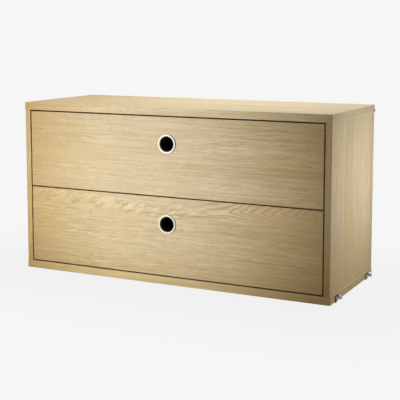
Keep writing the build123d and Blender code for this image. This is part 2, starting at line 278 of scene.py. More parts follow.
def makeCathedralGroup(look):
    # Nested flame shapes of flat-cut veneer, open towards +x of the vector, in a band round Centre.
    # Rise and Fall squeeze the half above and the half below. Left of Knee the flames lie further
    # apart, by Left Taper. Figure is 1 on the dark lines and below 0 on the pale ones beside them.
    tree, given, result = newGroup(
        "cathedral figure",
        {"Centre": 0.0, "Upper Width": 0.02, "Lower Width": 0.02, "Rise": 1.0, "Fall": 1.0,
         "Spacing": 0.004, "Taper": 0.15, "Left Taper": 0.05, "Knee": -1.0, "Roundness": 0.004,
         "Wobble": 0.3, "Start": -0.4, "End": 0.4, "Tongue": 0.0},
        ["Figure"])
    run, height = axes(tree, given["Vector"])[:2]
    drift = aroundZero(tree, grainNoise(tree, given["Vector"], look["drift"]))
    across = minus(tree, height, given["Centre"])
    across = timesPlus(tree, drift, times(tree, given["Lower Width"], look["driftShare"]), across)
    above = maths(tree, "GREATER_THAN", across, 0.0)
    squeeze = put(tree, "Mix", {0: above, 2: given["Fall"], 3: given["Rise"]}).outputs[0]
    squeezed = maths(tree, "POWER", times(tree, across, squeeze), 2.0)
    rounding = maths(tree, "POWER", given["Roundness"], 2.0)
    radius = maths(tree, "SQRT", maths(tree, "ADD", squeezed, rounding))
    past = minus(tree, run, given["Knee"])
    past = maths(tree, "SMOOTH_MAX", past, 0.0, look["kneeBlend"])
    steeper = minus(tree, given["Taper"], given["Left Taper"])
    lead = timesPlus(tree, past, steeper, times(tree, run, given["Left Taper"]))
    phase = maths(tree, "DIVIDE", minus(tree, radius, lead), given["Spacing"])
    shake = aroundZero(tree, grainNoise(tree, given["Vector"], look["shake"], detail=2.5))
    phase = timesPlus(tree, shake, times(tree, given["Wobble"], look["shakeShare"]), phase)
    crowd = grainNoise(tree, given["Vector"], look["crowd"], detail=1.0)
    wave = maths(tree, "FRACT", timesPlus(tree, crowd, look["crowdShare"], phase))
    dark, pale = near(tree, wave, *look["dark"]), near(tree, wave, *look["pale"])
    lines = timesPlus(tree, pale, look["paleShare"], dark)
    width = put(tree, "Mix", {0: above, 2: given["Lower Width"], 3: given["Upper Width"]}).outputs[0]
    side = maths(tree, "DIVIDE", maths(tree, "ABSOLUTE", across), width)
    side = ease(tree, side, *look["sideRange"])
    mask = times(tree, side, stretchMask(tree, run, given["Start"], given["End"]))
    figure = times(tree, lines, mask)
    # left of the flames a pale tongue with a dark line under it
    tongue, under = near(tree, across, *look["tongue"]), near(tree, across, *look["under"])
    tongue = times(tree, minus(tree, under, tongue), given["Tongue"])
    start = minus(tree, given["Knee"], look["tongueReach"])
    figure = timesPlus(tree, tongue, stretchMask(tree, run, start, given["Knee"]), figure)
    tree.links.new(figure, result["Figure"])
    return tree


swirlLook = {
    "strokes": (24, 135), "strokeRange": (0.36, 0.64, 0.8, -1.0),
    "clouds": (15, 40), "cloudRange": (0.33, 0.56, 0.15, 1.0), "sideRange": (0.4, 1.1, 1.0, 0.0),
}


def makeSwirlGroup(look):
    # Pale and dark strokes at a slant to the grain, in clouds along a band round Centre. Figure is
    # above 0 on the dark strokes and below 0 on the pale ones.
    tree, given, result = newGroup(
        "swirled figure",
        {"Centre": 0.0, "Width": 0.012, "Slant": 0.6, "Start": -0.4, "End": 0.4},
        ["Figure"])
    run, height = axes(tree, given["Vector"])[:2]
    slanted = turned(tree, given["Vector"], times(tree, given["Slant"], -1.0))
    strokes = grainNoise(tree, slanted, look["strokes"], distortion=0.6)
    strokes = span(tree, strokes, *look["strokeRange"])
    clouds = ease(tree, grainNoise(tree, given["Vector"], look["clouds"]), *look["cloudRange"])
    across = maths(tree, "ABSOLUTE", minus(tree, height, given["Centre"]))
    side = ease(tree, maths(tree, "DIVIDE", across, given["Width"]), *look["sideRange"])
    mask = times(tree, side, stretchMask(tree, run, given["Start"], given["End"]))
    mask = times(tree, mask, clouds)
    tree.links.new(times(tree, strokes, mask), result["Figure"])
    return tree


def makePinMarkGroup(look):
    # One small dark mark with a soft rim, drawn out along the grain.
    tree, given, result = newGroup(
        "pin mark", {"Place": (0, 0, 0), "Length": 0.004, "Height": 0.0015}, ["Mark"])
    offset = axes(tree, vectorMaths(tree, "SUBTRACT", given["Vector"], given["Place"]))
    size = noise(tree, given["Vector"], scale=look["shake"])
    for way, reach in ((offset[0], "Length"), (offset[1], "Height")):
        share = maths(tree, "DIVIDE", way, given[reach])
        size = timesPlus(tree, share, share, size)
    tree.links.new(ease(tree, size, *look["markRange"]), result["Mark"])
    return tree


def makeArrisGroup(look):
    # 1 on the narrow bevels of a square-cut board, broken up where hands have worn it less. The pale colour
    # that it brings is partly worn wood and partly a painted highlight where light catches the bevels.
    tree, given, result = newGroup("arris wear", {"Amount": 1.0}, ["Wear"])
    size = [maths(tree, "ABSOLUTE", value) for value in faceAxes(tree)[:3]]
    most = maths(tree, "MAXIMUM", maths(tree, "MAXIMUM", size[0], size[1]), size[2])
    bevel = ease(tree, most, *look["bevelRange"])
    broken = ease(tree, noise(tree, given["Vector"], scale=look["broken"], detail=3.0), *look["brokenRange"])
    wearAndHighlight = times(tree, times(tree, bevel, broken), given["Amount"])
    tree.links.new(wearAndHighlight, result["Wear"])
    return tree


def makeHandlingGroup(look):
    # Faint clouds and specks that vary the gloss and tone of any surface.
    tree, given, result = newGroup(
        "handling", {"Cloud Size": 9.0, "Speck Size": 420.0}, ["Clouds", "Specks"])
    clouds = noise(tree, given["Vector"], scale=given["Cloud Size"], detail=4.0, roughness=0.6)
    specks = noise(tree, given["Vector"], scale=given["Speck Size"], detail=1.0)
    tree.links.new(ease(tree, clouds, *look["cloudRange"]), result["Clouds"])
    tree.links.new(ease(tree, specks, *look["speckRange"]), result["Specks"])
    return tree


grainGroup = makeGrainGroup(grainLook)
cathedralGroup = makeCathedralGroup(flameLook)
swirlGroup = makeSwirlGroup(swirlLook)
pinMarkGroup = makePinMarkGroup({"shake": 500.0, "markRange": (0.3, 1.6, 1.0, 0.0)})
arrisGroup = makeArrisGroup({"bevelRange": (0.8, 0.98, 1.0, 0.0), "broken": 38.0,
                             "brokenRange": (0.35, 0.65, 0.4, 1.0)})
handlingGroup = makeHandlingGroup({"cloudRange": (0.3, 0.7), "speckRange": (0.66, 0.78)})
print("shader groups made")


# Wood. grain names the axis of the grain, then the other axis of the broad face. The shares say how
# much of an effect shows, cloudSwing and polish how far clouds move the tone and the roughness.

oak = {
    "light": (0.685, 0.550, 0.358, 1),
    "dark": (0.410, 0.300, 0.142, 1),
    "pore": (0.280, 0.195, 0.095, 1),
    "fleck": (0.740, 0.610, 0.420, 1),
    # rubbed is the bevels' pale colour, partly worn wood and partly a painted highlight
    "rubbed": (0.780, 0.660, 0.470, 1),
    "warm": (0.560, 0.390, 0.185, 1),
    # inner is a painted shade for the inward faces that the drawers hide
    "inner": (0.62, 0.44, 0.24, 1),
    "surface": {"Roughness": 0.50, "Specular IOR Level": 0.08, "Coat Weight": 0.03, "Coat Roughness": 0.35},
    "bands": 0.70, "streaks": 1.00, "glints": 0.30, "fibres": 0.35, "leaves": 0.0, "leafWidth": 0.12,
    "poreShare": 0.40, "fleckShare": 0.12, "warmShare": 0.25, "markShare": 0.45, "wearShare": 0.8,
    "cloudSwing": 0.10, "polish": 0.06, "poreRough": 0.18, "bump": 0.12, "bumpDepth": 0.0004,
}
# What each panel adds. edge is a painted light and shade on the narrow face at the front: the tint, the
# axis that it grows along, and from where to where; it lightens the top and bottom and darkens the right
# side towards the bottom. rim is a painted warm shade on a front's edges, where they show in the gaps,
# endTint tints a slab's ends, and inner is a painted shade on the part of the face named by inside that
# the drawers hide. warmEnds are (start, end, most): redder and a little darker from start to end, a
# painted shade where the light falls off.
# lively and figureShare are eased and wobble is straight: (from, to, value before, value after).
# centre is the height of the figure and its bends (from, to, rise). marks are pin marks.
veneers = {
    "upper_drawer_front": {
        "grain": "xz", "seed": (3.1, 7.7, 1.3),
        "warmEnds": [(0.12, 0.38, 0.60), (-0.18, -0.39, 0.35)],
        "lively": (0.0, 0.36, 0.90, 2.6), "warmShare": 0.12, "rim": (1.0, 0.80, 0.54, 1),
        "marks": [(-0.0291, 0.2627), (0.201, 0.3405)],
    },
    "lower_drawer_front": {
        "grain": "xz", "seed": (8.6, 2.2, 4.9),
        "warmEnds": [(0.12, 0.38, 0.62), (-0.22, -0.39, 0.20)],
        "lively": (0.0, 0.36, 1.15, 2.3), "rim": (1.0, 0.80, 0.54, 1),
        "marks": [(0.1597, 0.1488), (0.0607, 0.0456), (0.1670, 0.0568), (-0.106, 0.1850), (-0.092, 0.1805)],
        "centre": (0.172, [(0.05, 0.20, 0.0145), (0.20, 0.34, 0.004), (-0.06, -0.30, 0.015)]),
        "figure": {"Upper Width": 0.045, "Lower Width": 0.018, "Rise": 0.34, "Fall": 0.75,
                   "Spacing": 0.0046, "Taper": 0.20, "Left Taper": 0.05, "Knee": 0.16,
                   "Roundness": 0.0009, "Start": 0.03, "End": 0.42, "Tongue": 0.8},
        "wobble": (-0.10, 0.20, 0.6, 0.22), "figureShare": (0.08, 0.19, 0.28, 0.90),
        "swirl": {"Width": 0.017, "Slant": 0.44, "Start": -0.46, "End": 0.10}, "swirlShare": 0.62,
    },
    "top_panel": {
        "grain": "xy", "seed": (1.7, 5.4, 9.2), "ends": True, "leaves": 0.10,
        "warmEnds": [(-0.10, -0.36, 0.55)],
        "edge": ((1.16, 1.21, 1.20, 1), "x", -0.60, 0.36),
        "inside": ("z", -1), "centre": (0.02, []),
        "figure": {"Upper Width": 0.055, "Lower Width": 0.055, "Spacing": 0.009, "Taper": 0.09,
                   "Roundness": 0.006, "Start": -0.5, "End": 0.5},
        "wobble": (-0.4, 0.4, 0.6, 0.4), "figureShare": (-0.4, 0.4, 0.12, 0.08),
    },
    "bottom_panel": {
        "grain": "xy", "seed": (6.4, 0.9, 2.8), "ends": True, "leaves": 0.10,
        "edge": ((1.12, 1.12, 1.05, 1), "x", -0.9, -0.8),   # all of it
        "inside": ("z", 1), "endTint": (0.92, 0.90, 0.74, 1),
    },
    "left_side_panel": {
        "grain": "zy", "seed": (2.3, 4.1, 6.6), "leaves": 0.26, "leafWidth": 0.062,
        "inside": ("x", 1), "inner": (0.86, 0.62, 0.38, 1),
    },
    "right_side_panel": {
        "grain": "zy", "seed": (9.8, 3.3, 5.1), "leaves": 0.26, "leafWidth": 0.062,
        "warmEnds": [(0.19, 0.02, 0.80)], "inside": ("x", -1),
        "edge": ((0.88, 0.84, 0.64, 1), "z", 0.42, 0.07),
    },
}
beech = {
    "light": (0.620, 0.450, 0.270, 1), "dark": (0.500, 0.340, 0.190, 1), "pore": (0.380, 0.240, 0.130, 1),
    "fleck": (0.660, 0.500, 0.320, 1), "rubbed": (0.680, 0.520, 0.340, 1),
    "bands": 0.8, "streaks": 0.8, "glints": 0.2, "fibres": 0.7, "poreShare": 0.35, "fleckShare": 0.8,
    "bump": 0.10, "surface": {"Roughness": 0.55, "Specular IOR Level": 0.3},
}
thinBoard = {
    "light": (0.560, 0.410, 0.240, 1), "dark": (0.440, 0.300, 0.165, 1), "pore": (0.280, 0.180, 0.090, 1),
    "fleck": (0.600, 0.460, 0.300, 1), "rubbed": (0.560, 0.420, 0.260, 1),
    "bands": 0.8, "streaks": 0.9, "glints": 0.2, "fibres": 0.5, "poreShare": 0.35, "fleckShare": 0.2,
    "bump": 0.08, "surface": {"Roughness": 0.6, "Specular IOR Level": 0.2},
}
axisNumber = {"x": 0, "y": 1, "z": 2}
squareOn = 0.8       # a face looks along an axis over this share of its direction
edgeOn = 0.3         # and lies along it under this share
insideHalf = 0.385   # half the width that the drawers hide


def woodMaterial(name, look):
    material, tree, shader = newMaterial(name, look["surface"])
    position = put(tree, "TexCoord").outputs["Object"]
    parts, facing = axes(tree, position), faceAxes(tree)
    along, across = [axisNumber[axis] for axis in look["grain"]]
    order = [along, across, 3 - along - across]
    vector = put(tree, "CombineXYZ", {i: parts[k] for i, k in enumerate(order)}).outputs[0]
    if look.get("ends"):   # the bands on a slab's ends have their grain from front to back
        atEnd = maths(tree, "GREATER_THAN", maths(tree, "ABSOLUTE", facing[0]), squareOn)
        endways = put(tree, "CombineXYZ", {0: parts[1], 1: parts[2], 2: parts[0]}).outputs[0]
        vector = mixVectors(tree, atEnd, vector, endways)
    shares = {label: look[label.lower()] for label in ("Bands", "Streaks", "Glints", "Fibres", "Leaves")}
    grain = useGroup(tree, grainGroup, {
        "Vector": vector, "Seed": look["seed"], "Leaf Width": look["leafWidth"], **shares})
    handling = useGroup(tree, handlingGroup, {"Vector": position})
    wearAndHighlight = useGroup(tree, arrisGroup, {"Vector": position})["Wear"]
    tone = grain["Tone"]
    if "lively" in look:   # the grain shows more towards one end
        gain = ease(tree, parts[along], *look["lively"])
        tone = timesPlus(tree, aroundZero(tree, tone), gain, 0.5)
    tone = timesPlus(tree, aroundZero(tree, handling["Clouds"]), look["cloudSwing"], tone)
    if "figure" in look:
        run = axes(tree, vector)[0]
        centre, bends = look["centre"]
        for low, high, rise in bends:
            centre = maths(tree, "ADD", ease(tree, run, low, high, 0.0, rise), centre)
        wobble = span(tree, run, *look["wobble"])
        figure = useGroup(tree, cathedralGroup, {
            "Vector": vector, "Centre": centre, "Wobble": wobble, **look["figure"]})
        share = ease(tree, run, *look["figureShare"])
        tone = minus(tree, tone, times(tree, figure["Figure"], share))
        if "swirl" in look:
            swirl = useGroup(tree, swirlGroup, {"Vector": vector, "Centre": centre, **look["swirl"]})
            tone = timesPlus(tree, swirl["Figure"], -look["swirlShare"], tone)
    colour = mixColours(tree, span(tree, tone, 0.0, 1.0), look["dark"], look["light"])
    warmth = times(tree, grain["Hue"], look["warmShare"])
    # painted shade: towards the listed ends the colour turns redder and a little darker, where the light
    # falls off
    for start, end, most in look.get("warmEnds", []):
        warmth = maths(tree, "ADD", warmth, ease(tree, parts[along], start, end, 0.0, most))
    colour = mixColours(tree, warmth, colour, look["warm"])
    # painted light and shade on the narrow faces at the front: the top's lighter towards the right, the
    # bottom's lighter all along, the right side's darker towards the bottom
    if "edge" in look:
        tint, axis, start, end = look["edge"]
        atEdge = maths(tree, "LESS_THAN", facing[1], -squareOn)
        amount = span(tree, parts[axisNumber[axis]], start, end)
        colour = tinted(tree, times(tree, atEdge, amount), colour, tint)
    if "endTint" in look:
        colour = tinted(tree, atEnd, colour, look["endTint"])
    # painted shade: a front's narrow faces, which show in the gaps, turn warmer and darker
    if "rim" in look:
        atRim = maths(tree, "LESS_THAN", maths(tree, "ABSOLUTE", facing[1]), edgeOn)
        colour = tinted(tree, atRim, colour, look["rim"])
    # painted shade: the inward faces that the drawers hide are tinted darker and browner
    if "inside" in look:
        axis, way = look["inside"]
        inward = times(tree, facing[axisNumber[axis]], way)
        inward = maths(tree, "GREATER_THAN", inward, squareOn)
        hidden = maths(tree, "LESS_THAN", maths(tree, "ABSOLUTE", parts[0]), insideHalf)
        colour = tinted(tree, times(tree, inward, hidden), colour, look["inner"])
    marks = [useGroup(tree, pinMarkGroup, {"Vector": vector, "Place": (*place, 0)})["Mark"]
             for place in look.get("marks", [])]
    layers = [(grain["Flecks"], "fleckShare", "fleck"), (grain["Pores"], "poreShare", "pore")]
    # the bevels' pale colour is partly worn wood and partly a painted highlight
    layers += [(mark, "markShare", "pore") for mark in marks] + [(wearAndHighlight, "wearShare", "rubbed")]
    for effect, share, other in layers:
        colour = mixColours(tree, times(tree, effect, look[share]), colour, look[other])
    tree.links.new(colour, shader.inputs["Base Color"])
    rough = swung(tree, handling["Clouds"], look["surface"]["Roughness"], look["polish"])
    rough = timesPlus(tree, grain["Pores"], look["poreRough"], rough)
    tree.links.new(rough, shader.inputs["Roughness"])
    addBump(tree, shader, grain["Height"], look["bump"], look["bumpDepth"])
    return material


def dress(nodeName, material):
    for slot in nodes[nodeName].material_slots:
        slot.material = material


for nodeName, own in veneers.items():
    dress(nodeName, woodMaterial("oak " + nodeName.replace("_", " "), {**oak, **own}))
for drawer, seed in (("upper", 1.0), ("lower", 4.0)):
    side = {**oak, **beech, "grain": "yz", "seed": (seed, 2, 3)}
    back = {**oak, **beech, "grain": "xz", "seed": (seed, 5, 1)}
    board = {**oak, **thinBoard, "grain": "xy", "seed": (seed, 9, 2)}
    boxSide = woodMaterial(drawer + " box sides", side)
    dress(drawer + "_drawer_left_side", boxSide)
    dress(drawer + "_drawer_right_side", boxSide)
    dress(drawer + "_drawer_back", woodMaterial(drawer + " box back", back))
    dress(drawer + "_drawer_bottom", woodMaterial(drawer + " bottom board", board))
backBoard = {**oak, **thinBoard, "grain": "zx", "seed": (5, 1, 7)}
dress("back_panel", woodMaterial("back board", backBoard))
print("wood done")


# Plastics and metals. swing is how far clouds move the roughness. skin is how fine the surface's own
# texture is in x, y and z, and skinRough and bump how much it shows in the roughness and the height.

plastic = {"swing": 0.08, "skinRough": 0.0, "bumpDepth": 0.0001}
metal = {"clouds": 1.0, "specks": 0.5, "swing": 0.14, "skinRough": 0.10, "bump": 0.12, "bumpDepth": 0.0001}


def hardMaterial(name, kind, own):
    look = {**kind, **own}
    material, tree, shader = newMaterial(name, look["surface"])
    position = put(tree, "TexCoord").outputs["Object"]
    handling = useGroup(tree, handlingGroup, {
        "Vector": position, "Cloud Size": look["cloudSize"], "Speck Size": look["speckSize"]})
    colour = look["colour"]
    for effect, share, other in (("Clouds", "clouds", "aged"), ("Specks", "specks", "speck")):
        colour = mixColours(tree, times(tree, handling[effect], look[share]), colour, look[other])
    if "sheared" in look:   # the strap's cut edges, facing front and back, are duller than its rolled faces and carry a painted near-black shade
        atCut = ease(tree, maths(tree, "ABSOLUTE", faceAxes(tree)[1]), *look["shearRange"])
        colour = mixColours(tree, atCut, colour, look["sheared"])
    tree.links.new(colour, shader.inputs["Base Color"])
    skin = noise(tree, vectorMaths(tree, "MULTIPLY", position, look["skin"]))
    rough = swung(tree, handling["Clouds"], look["surface"]["Roughness"], look["swing"])
    rough = timesPlus(tree, skin, look["skinRough"], rough)
    tree.links.new(rough, shader.inputs["Roughness"])
    addBump(tree, shader, skin, look["bump"], look["bumpDepth"])
    return material


whitePlastic = hardMaterial("white pull plastic", plastic, {
    "colour": (0.675, 0.62, 0.56, 1), "aged": (0.64, 0.59, 0.51, 1), "speck": (0.52, 0.49, 0.46, 1),
    "surface": {"Roughness": 0.38, "Specular IOR Level": 0.4}, "cloudSize": 60.0, "speckSize": 900.0,
    "clouds": 0.4, "specks": 0.15, "skin": (700, 700, 700), "bump": 0.05})
blackPlastic = hardMaterial("black sleeve plastic", plastic, {
    "colour": (0.022, 0.018, 0.015, 1), "aged": (0.030, 0.025, 0.021, 1), "speck": (0.06, 0.05, 0.045, 1),
    "surface": {"Roughness": 0.6, "Specular IOR Level": 0.25}, "cloudSize": 60.0, "speckSize": 900.0,
    "clouds": 0.6, "specks": 0.2, "skin": (1600, 1600, 1600), "bump": 0.15})
nylon = hardMaterial("roller nylon", plastic, {
    "colour": (0.78, 0.76, 0.70, 1), "aged": (0.66, 0.62, 0.54, 1), "speck": (0.30, 0.27, 0.22, 1),
    "surface": {"Roughness": 0.42, "Specular IOR Level": 0.45}, "cloudSize": 90.0, "speckSize": 1200.0,
    "clouds": 0.5, "specks": 0.3, "skin": (1200, 1200, 1200), "bump": 0.08})
runnerPaint = hardMaterial("runner powder coat", plastic, {
    "colour": (0.62, 0.60, 0.55, 1), "aged": (0.52, 0.50, 0.45, 1), "speck": (0.20, 0.18, 0.16, 1),
    "surface": {"Roughness": 0.4, "Specular IOR Level": 0.5}, "cloudSize": 30.0, "speckSize": 700.0,
    "clouds": 0.5, "specks": 0.2, "skin": (2400, 2400, 2400), "bump": 0.2})
zincStrap = hardMaterial("zinc strap", metal, {
    "colour": (0.31, 0.285, 0.29, 1), "aged": (0.20, 0.18, 0.18, 1), "speck": (0.12, 0.11, 0.10, 1),
    # sheared: a painted near-black shade on the strap's cut edges
    "sheared": (0.016, 0.011, 0.010, 1), "shearRange": (0.5, 0.8),
    "surface": {"Metallic": 1.0, "Roughness": 0.34}, "cloudSize": 160.0, "speckSize": 1500.0,
    "skin": (300, 2400, 300)})
screwSteel = hardMaterial("screw zinc", metal, {
    "colour": (0.70, 0.66, 0.56, 1), "aged": (0.50, 0.47, 0.40, 1), "speck": (0.22, 0.20, 0.17, 1),
    "surface": {"Metallic": 1.0, "Roughness": 0.34}, "cloudSize": 300.0, "speckSize": 1800.0,
    "skin": (1200, 1200, 1200)})
pegSteel = hardMaterial("peg steel", metal, {
    "colour": (0.26, 0.23, 0.20, 1), "aged": (0.16, 0.14, 0.12, 1), "speck": (0.08, 0.07, 0.06, 1),
    "surface": {"Metallic": 0.9, "Roughness": 0.42}, "cloudSize": 300.0, "speckSize": 1500.0,
    "skin": (200, 1600, 1600)})
for nodeName in nodes:
    if nodeName.endswith("_runner"):
        dress(nodeName, runnerPaint)
print("plastics and metals done")


# Meshes

weld = 1e-7   # metres within which two corners are one


def makeMesh(bm, name):   # with its faces looking outwards
    bmesh.ops.recalc_face_normals(bm, faces=bm.faces)
    mesh = bpy.data.meshes.new(name)
    bm.to_mesh(mesh)
    bm.free()
    return mesh


def addObject(name, data):
    thing = bpy.data.objects.new(name, data)
    bpy.context.scene.collection.objects.link(thing)
    return thing


def addPiece(name, bm, material, body, replaced, smoothAngle=35):
    bmesh.ops.remove_doubles(bm, verts=bm.verts, dist=weld)
    mesh = makeMesh(bm, name)
    mesh.materials.append(material)
    mesh.shade_smooth()
    mesh.set_sharp_from_angle(angle=math.radians(smoothAngle))
    piece = addObject(name, mesh)
    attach(piece, body)
    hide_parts(*replaced)


def pieceName(nodeName):   # upper_left_roller becomes upperLeftRoller
    first, *others = nodeName.split("_")
    return first + "".join(word.capitalize() for word in others)


def bridge(bm, a, b):   # faces between two closed loops, of which one may be a single point
    steps = max(len(a), len(b))
    for k in range(steps):
        m = (k + 1) % steps
        if len(a) == 1:
            bm.faces.new((a[0], b[m], b[k]))
        elif len(b) == 1:
            bm.faces.new((a[k], a[m], b[0]))
        else:
            bm.faces.new((a[k], a[m], b[m], b[k]))


def addLathe(bm, profile, steps, placed):
    # profile is a closed loop of (distance along the axis, radius); the axis is the local Z
    rings = []
    for step in range(steps):
        angle = math.tau * step / steps
        rings.append([bm.verts.new(placed @ Vector((r * math.cos(angle), r * math.sin(angle), z)))
                      for z, r in profile])
    for step in range(steps):
        bridge(bm, rings[step], rings[(step + 1) % steps])


def addSpindle(bm, profile, steps, placed):
    # as addLathe, for an open profile that starts and ends on the axis
    rings = []
    for z, r in profile:
        angles = [math.tau * k / steps for k in range(steps if r else 1)]
        rings.append([bm.verts.new(placed @ Vector((r * math.cos(a), r * math.sin(a), z))) for a in angles])
    for a, b in zip(rings, rings[1:]):
        bridge(bm, a, b)


def roundedCorner(corner, before, after, radius, steps=5):
    # points of an arc that replaces a square corner of a profile
    corner = Vector(corner)
    a = corner + (Vector(before) - corner).normalized() * radius
    b = corner + (Vector(after) - corner).normalized() * radius
    centre = a + b - corner
    turns = [i / steps * math.pi / 2 for i in range(steps + 1)]
    return [tuple(centre + (a - centre) * math.cos(t) + (b - centre) * math.sin(t)) for t in turns]


def roundedProfile(corners, radii):
    points = []
    for i, corner in enumerate(corners):
        if radii[i]:
            points += roundedCorner(corner, corners[i - 1], corners[(i + 1) % len(corners)], radii[i])
        else:
            points.append(corner)
    return points


alongY = Matrix.Rotation(math.radians(-90), 4, "X")       # local Z to +Y
alongX = Matrix.Rotation(math.radians(90), 4, "Y")        # local Z to +X
againstX = Matrix.Rotation(math.radians(-90), 4, "Y")     # local Z to -X


# Finger pulls

pull = {"ringRounds": [0.0012, 0.0013, 0, 0], "sleeveRounds": [0.0005, 0.0005, 0, 0],
        "play": 0.0001, "wall": 0.0012, "steps": 96}


def addPull(drawer, setup):
    low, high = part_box(drawer + "_pull_ring")
    sleeveLow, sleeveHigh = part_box(drawer + "_pull_sleeve")
    bore, depth = (sleeveHigh.x - sleeveLow.x) / 2, high.y - low.y
    placed = Matrix.Translation((0, low.y, (low.z + high.z) / 2)) @ alongY
    ring = (0, bore + setup["play"], (high.x - low.x) / 2)   # start along the axis, then the radii
    sleeve = (sleeveLow.y - low.y, bore - setup["wall"], bore)
    for kind, (start, inner, outer), material, slotName in (
            ("ring", ring, whitePlastic, "white_plastic"),
            ("sleeve", sleeve, blackPlastic, "black_plastic")):
        corners = [(start, inner), (start, outer), (depth, outer), (depth, inner)]
        nodeName = drawer + "_pull_" + kind
        bm = bmesh.new()
        addLathe(bm, roundedProfile(corners, setup[kind + "Rounds"]), setup["steps"], placed)
        addPiece(pieceName(nodeName), bm, material, drawer + "_drawer", [nodeName])


for drawer in ("upper", "lower"):
    addPull(drawer, pull)
print("pulls done")


# Rollers: a rounded tread, a sunk web and a hub on the pin

rollerShape = {"hub": 0.0036, "bore": 0.00205, "rim": 0.0062, "sunk": 0.0009, "round": 0.0006, "steps": 64}


def addRoller(nodeName, shape):
    low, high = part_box(nodeName)
    outer, w = (high.z - low.z) / 2, high.x - low.x
    s = shape["sunk"]
    corners = [(0, shape["rim"]), (0, outer), (w, outer), (w, shape["rim"]), (w - s, shape["rim"]),
               (w - s, shape["hub"]), (w, shape["hub"]), (w, shape["bore"]), (0, shape["bore"]),
               (0, shape["hub"]), (s, shape["hub"]), (s, shape["rim"])]
    radii = [0, shape["round"], shape["round"]] + [0] * 9
    bm = bmesh.new()
    placed = Matrix.Translation((low.x, (low.y + high.y) / 2, (low.z + high.z) / 2)) @ alongX
    addLathe(bm, roundedProfile(corners, radii), shape["steps"], placed)
    addPiece(pieceName(nodeName), bm, nylon, nodeName, [nodeName])


for nodeName in [n for n in nodes if n.endswith("_roller")]:
    addRoller(nodeName, rollerShape)
print("rollers done")


# Screws: countersunk heads with a cross recess

screwShapes = {
    "hook": {"shank": 0.002, "head": 0.0038, "headDepth": 0.002, "length": 0.012, "cross": 0.0023},
    "runner": {"shank": 0.00175, "head": 0.00275, "headDepth": 0.0012, "length": 0.012, "cross": 0.0016},
    "box": {"shank": 0.00175, "head": 0.00275, "headDepth": 0.0012, "length": 0.010, "cross": 0.0016},
}
screwDetail = {   # the same on every screw; a share is of the shank, or of the cross where it says so
    "land": 0.0002, "pitch": 0.0012, "neck": 0.0006, "ridge": (0.0005, 0.0007), "coreShare": 0.74,
    "point": 0.001, "pointShare": 0.6, "steps": 24, "armShareOfCross": 0.22, "deep": 0.0009,
    "floorShareOfCross": 0.55, "above": 0.0004, "spin": 0.9,
}


def cutAway(solid, hole):
    # returns a mesh: solid less hole
    whole, tool = addObject("cut whole", solid), addObject("cut tool", hole)
    modifier = whole.modifiers.new("cut", "BOOLEAN")
    modifier.object = tool
    modifier.operation = "DIFFERENCE"
    modifier.solver = "EXACT"
    bpy.context.view_layer.update()
    result = bpy.data.meshes.new_from_object(whole.evaluated_get(bpy.context.evaluated_depsgraph_get()))
    for thing in (whole, tool):
        bpy.data.objects.remove(thing)
    return result


def screwMesh(shape, detail):
    # the head's flat is at z = 0 and the point at -length
    shank, length, pitch = shape["shank"], shape["length"], detail["pitch"]
    rows = [(0.0, 0.0), (0.0, shape["head"]), (-detail["land"], shape["head"]), (-shape["headDepth"], shank)]
    for i in range(int(length / pitch) - 2):   # thread ridges
        z = -shape["headDepth"] - detail["neck"] - i * pitch
        rows += [(z, shank * detail["coreShare"])] + [(z - drop, shank) for drop in detail["ridge"]]
    rows += [(-length + detail["point"], shank * detail["pointShare"]), (-length, 0.0)]
    body = bmesh.new()
    addSpindle(body, rows, detail["steps"], Matrix())
    arm = shape["cross"]
    half, taper = arm * detail["armShareOfCross"], detail["floorShareOfCross"]
    outline = [(half, half), (arm, half), (arm, -half), (half, -half), (half, -arm), (-half, -arm),
               (-half, -half), (-arm, -half), (-arm, half), (-half, half), (-half, arm), (half, arm)]
    recess = bmesh.new()
    low = [recess.verts.new((x * taper, y * taper, -detail["deep"])) for x, y in outline]
    high = [recess.verts.new((x, y, detail["above"])) for x, y in outline]
    recess.faces.new(low)
    recess.faces.new(high)
    bridge(recess, low, high)
    return cutAway(makeMesh(body, "screw solid"), makeMesh(recess, "screw recess"))


def addScrews(name, shape, places, body, replaced):
    # places are (head centre, direction that the head faces)
    single = screwMesh(shape, screwDetail)
    bm = bmesh.new()
    for number, (place, facing) in enumerate(places):
        turn = Vector((0, 0, 1)).rotation_difference(Vector(facing)).to_matrix().to_4x4()
        spin = Matrix.Rotation(screwDetail["spin"] * number, 4, "Z")
        copy = single.copy()
        copy.transform(Matrix.Translation(place) @ turn @ spin)
        bm.from_mesh(copy)
        bpy.data.meshes.remove(copy)
    addPiece(name, bm, screwSteel, body, [replaced])


screwPlaces = {
    "hookX": (0.381, 0.367), "hookY": (-0.10725, 0.10975),
    "rowY": (-0.08575, 0.07425), "webX": 0.3738, "boxX": 0.3637,
}


def middleZ(nodeName):
    low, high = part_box(nodeName)
    return (low.z + high.z) / 2


upperZ, lowerZ = [middleZ(drawer + "_drawer_runner_screws") for drawer in ("upper", "lower")]
addScrews("hookScrews", screwShapes["hook"],
          [((s * x, y, 0.0), (0, 0, -1)) for s in (-1, 1) for x in screwPlaces["hookX"]
           for y in screwPlaces["hookY"]], "cabinet", "hook_screws")
addScrews("cabinetRunnerScrews", screwShapes["runner"],
          [((s * screwPlaces["webX"], y, z), (-s, 0, 0)) for s in (-1, 1) for y in screwPlaces["rowY"]
           for z in (lowerZ, upperZ)], "cabinet", "cabinet_runner_screws")
for drawer, z in (("upper", upperZ), ("lower", lowerZ)):
    addScrews(drawer + "DrawerRunnerScrews", screwShapes["box"],
              [((s * screwPlaces["boxX"], y, z), (s, 0, 0)) for s in (-1, 1) for y in screwPlaces["rowY"]],
              drawer + "_drawer", drawer + "_drawer_runner_screws")
print("screws done")


# Hooks: flat strap with soft edges, bent to a foot, a leg, an arch of wrap degrees and a flared lip

